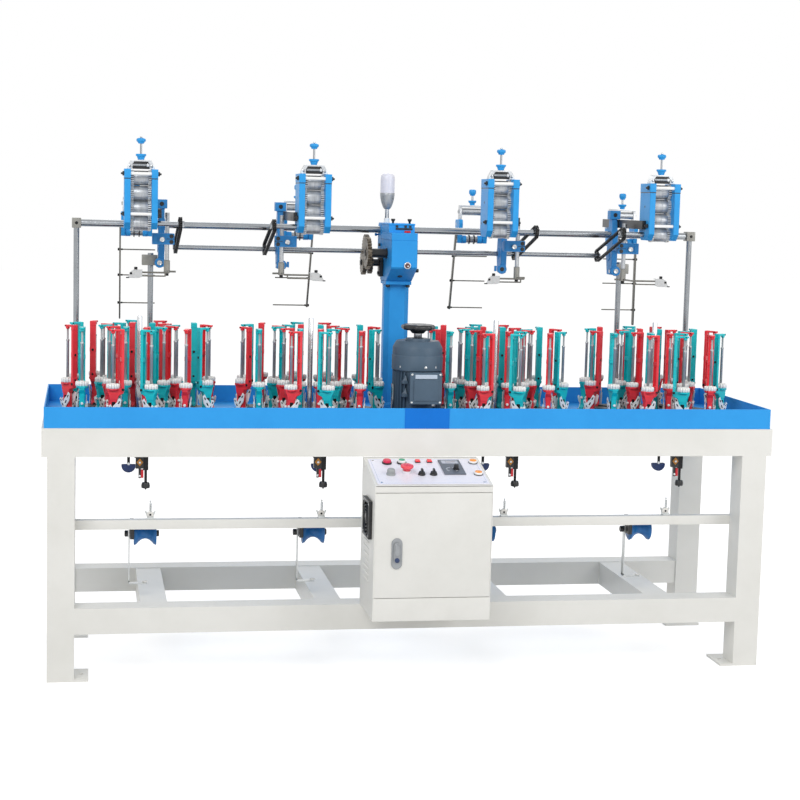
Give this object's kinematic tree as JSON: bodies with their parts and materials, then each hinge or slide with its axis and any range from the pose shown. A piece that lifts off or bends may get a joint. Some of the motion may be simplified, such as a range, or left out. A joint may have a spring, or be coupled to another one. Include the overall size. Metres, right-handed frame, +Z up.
{
  "type": "track cord braiding machine",
  "caption": "Powered cord braiding machine: rings of spool carriers on a long steel table, take-up rollers overhead, change gears, motor and control cabinet.",
  "frame": {"origin": "middle of the footprint's bounding box, on the floor", "axes": "+X along the table to the right seen from the control cabinet, +Y to the back, +Z up"},
  "size_m": [2.4, 1.0584, 1.7273],
  "materials": {
    "frame_paint": "satin ivory enamel",
    "blue_paint": "gloss blue enamel",
    "blue_casting": "painted casting",
    "red_paint": "gloss red enamel",
    "teal_paint": "gloss teal enamel",
    "bright_steel": "ground",
    "chrome": "plated",
    "aluminium": "machined",
    "black_steel": "blackened",
    "slate_paint": "slate enamel",
    "black_plastic": "moulded",
    "white_plastic": "moulded",
    "red_plastic": "moulded",
    "green_plastic": "moulded",
    "panel_film": "satin film"
  },
  "bodies": {
    "machine": {"top_frame": "frame_paint", "legs": "frame_paint", "lower_frame": "frame_paint", "yarn_bar": "frame_paint", "pulley_brackets": "black_steel", "table_deck": "blue_paint", "table_rim": "blue_paint", "track_plates": "black_steel", "horn_gears": "black_steel", "carriers_red": "red_paint", "carriers_teal": "teal_paint", "carrier_spindles": "bright_steel", "core_tubes": "bright_steel", "column": "blue_paint", "gearbox": "blue_paint", "gear_carrier": "black_steel", "signal_lamp": "white_plastic", "posts": "bright_steel", "cross_tube": "chrome", "unit_arms": "blue_casting", "unit_brackets": "black_steel", "braid_guides": "bright_steel", "unit_plates": "blue_paint", "unit_fittings": "chrome", "drive_chains": "black_steel", "rear_units": "blue_casting", "ladder_guides": "bright_steel", "motor": "slate_paint", "cabinet_body": "frame_paint", "control_panel": "panel_film", "panel_fittings": "black_plastic", "fan_guard": "black_plastic", "tensioners": "black_steel"},
    "door": {"cabinet_door": "frame_paint"},
    "lock_lever": {"lock_lever": "chrome"},
    "fan": {"fan_rotor": "black_plastic"},
    "stop_button": {"stop_button": "red_plastic"},
    "start_button": {"start_button": "green_plastic"},
    "emergency_stop": {"emergency_stop": "red_plastic"},
    "selector_left": {"selector_left": "black_plastic"},
    "selector_right": {"selector_right": "black_plastic"},
    "speed_knob": {"speed_knob": "black_plastic"},
    "handwheel": {"handwheel": "black_plastic"},
    "line_shaft": {"line_shaft": "bright_steel"},
    "idler_gear": {"idler_gear": "bright_steel"},
    "driver_gear": {"driver_gear": "bright_steel"},
    "takeup_roller_1": {"takeup_roller_1": "aluminium"},
    "takeup_roller_2": {"takeup_roller_2": "aluminium"},
    "takeup_roller_3": {"takeup_roller_3": "aluminium"},
    "takeup_roller_4": {"takeup_roller_4": "aluminium"},
    "rear_press_rollers": {"rear_press_rollers": "chrome"},
    "rear_guide_rollers": {"rear_guide_rollers": "chrome"},
    "press_knob_1": {"press_knob_1": "blue_paint"},
    "press_knob_2": {"press_knob_2": "blue_paint"},
    "press_knob_3": {"press_knob_3": "blue_paint"},
    "press_knob_4": {"press_knob_4": "blue_paint"},
    "guide_pulley_1": {"guide_pulley_1": "blue_casting"},
    "guide_pulley_2": {"guide_pulley_2": "blue_casting"},
    "guide_pulley_3": {"guide_pulley_3": "blue_casting"},
    "guide_pulley_4": {"guide_pulley_4": "blue_casting"}
  },
  "joints": [
    {"name": "door_hinge", "type": "hinge", "parent": "machine", "child": "door", "pos_m": [0.184, -0.51585, 0.475], "axis": [0, 0, 1], "range_deg": [0, 120]},
    {"name": "lock_lever_fold", "type": "hinge", "parent": "door", "child": "lock_lever", "pos_m": [-0.115, -0.52015, 0.421], "axis": [1, 0, 0], "range_deg": [0, 60]},
    {"name": "fan_turn", "type": "hinge", "parent": "machine", "child": "fan", "pos_m": [-0.18, -0.41285, 0.547], "axis": [1, 0, 0], "continuous": true},
    {"name": "stop_button_press", "type": "slide", "parent": "machine", "child": "stop_button", "axis": [0, 0.2242, -0.9745], "range_m": [0, 0.003], "stiffness_N_per_m": 400},
    {"name": "start_button_press", "type": "slide", "parent": "machine", "child": "start_button", "axis": [0, 0.2242, -0.9745], "range_m": [0, 0.003], "stiffness_N_per_m": 400},
    {"name": "emergency_stop_press", "type": "slide", "parent": "machine", "child": "emergency_stop", "axis": [0, 0.2242, -0.9745], "range_m": [0, 0.004]},
    {"name": "selector_left_turn", "type": "hinge", "parent": "machine", "child": "selector_left", "pos_m": [-0.026, -0.43383, 0.69108], "axis": [0, -0.2242, 0.9745], "range_deg": [-90, 0]},
    {"name": "selector_right_turn", "type": "hinge", "parent": "machine", "child": "selector_right", "pos_m": [0.012, -0.43383, 0.69108], "axis": [0, -0.2242, 0.9745], "range_deg": [-90, 0]},
    {"name": "speed_knob_turn", "type": "hinge", "parent": "machine", "child": "speed_knob", "pos_m": [0.091, -0.4007, 0.6987], "axis": [0, -0.2242, 0.9745], "range_deg": [-135, 135]},
    {"name": "handwheel_turn", "type": "hinge", "parent": "machine", "child": "handwheel", "pos_m": [0.008, -0.13585, 1.11], "axis": [0, 0, 1], "continuous": true},
    {"name": "line_shaft_turn", "type": "hinge", "parent": "machine", "child": "line_shaft", "pos_m": [0, 0.35915, 1.36], "axis": [1, 0, 0], "continuous": true},
    {"name": "idler_gear_turn", "type": "hinge", "parent": "machine", "child": "idler_gear", "pos_m": [-0.1, 0.27508, 1.32263], "axis": [1, 0, 0], "continuous": true},
    {"name": "driver_gear_turn", "type": "hinge", "parent": "machine", "child": "driver_gear", "pos_m": [-0.112, 0.19015, 1.358], "axis": [1, 0, 0], "continuous": true},
    {"name": "takeup_roller_1_turn", "type": "hinge", "parent": "machine", "child": "takeup_roller_1", "pos_m": [0, 0.06915, 1.444], "axis": [1, 0, 0], "continuous": true},
    {"name": "takeup_roller_2_turn", "type": "hinge", "parent": "machine", "child": "takeup_roller_2", "pos_m": [0, 0.06915, 1.493], "axis": [1, 0, 0], "continuous": true},
    {"name": "takeup_roller_3_turn", "type": "hinge", "parent": "machine", "child": "takeup_roller_3", "pos_m": [0, 0.06915, 1.542], "axis": [1, 0, 0], "continuous": true},
    {"name": "takeup_roller_4_turn", "type": "hinge", "parent": "machine", "child": "takeup_roller_4", "pos_m": [0, 0.06915, 1.591], "axis": [1, 0, 0], "continuous": true},
    {"name": "rear_press_rollers_turn", "type": "hinge", "parent": "machine", "child": "rear_press_rollers", "pos_m": [0, 0.49415, 1.506], "axis": [1, 0, 0], "continuous": true},
    {"name": "rear_guide_rollers_turn", "type": "hinge", "parent": "machine", "child": "rear_guide_rollers", "pos_m": [0, 0.49415, 1.406], "axis": [1, 0, 0], "continuous": true},
    {"name": "press_knob_1_turn", "type": "hinge", "parent": "machine", "child": "press_knob_1", "pos_m": [-0.89, 0.06915, 1.715], "axis": [0, 0, 1], "range_deg": [-720, 720]},
    {"name": "press_knob_2_turn", "type": "hinge", "parent": "machine", "child": "press_knob_2", "pos_m": [-0.32, 0.06915, 1.715], "axis": [0, 0, 1], "range_deg": [-720, 720]},
    {"name": "press_knob_3_turn", "type": "hinge", "parent": "machine", "child": "press_knob_3", "pos_m": [0.32, 0.06915, 1.715], "axis": [0, 0, 1], "range_deg": [-720, 720]},
    {"name": "press_knob_4_turn", "type": "hinge", "parent": "machine", "child": "press_knob_4", "pos_m": [0.89, 0.06915, 1.715], "axis": [0, 0, 1], "range_deg": [-720, 720]},
    {"name": "guide_pulley_1_turn", "type": "hinge", "parent": "machine", "child": "guide_pulley_1", "pos_m": [-0.873, -0.11085, 0.444], "axis": [1, 0, 0], "continuous": true},
    {"name": "guide_pulley_2_turn", "type": "hinge", "parent": "machine", "child": "guide_pulley_2", "pos_m": [-0.324, -0.11085, 0.444], "axis": [1, 0, 0], "continuous": true},
    {"name": "guide_pulley_3_turn", "type": "hinge", "parent": "machine", "child": "guide_pulley_3", "pos_m": [0.253, -0.11085, 0.444], "axis": [1, 0, 0], "continuous": true},
    {"name": "guide_pulley_4_turn", "type": "hinge", "parent": "machine", "child": "guide_pulley_4", "pos_m": [0.8, -0.11085, 0.444], "axis": [1, 0, 0], "continuous": true}
  ],
  "couplings": [
    {"joint": "idler_gear_turn", "follows": "line_shaft_turn", "ratio": -1.5556},
    {"joint": "driver_gear_turn", "follows": "line_shaft_turn", "ratio": 1.1966},
    {"joint": "takeup_roller_1_turn", "follows": "line_shaft_turn", "ratio": 1},
    {"joint": "takeup_roller_2_turn", "follows": "line_shaft_turn", "ratio": -1},
    {"joint": "takeup_roller_3_turn", "follows": "line_shaft_turn", "ratio": 1},
    {"joint": "takeup_roller_4_turn", "follows": "line_shaft_turn", "ratio": -1}
  ]
}
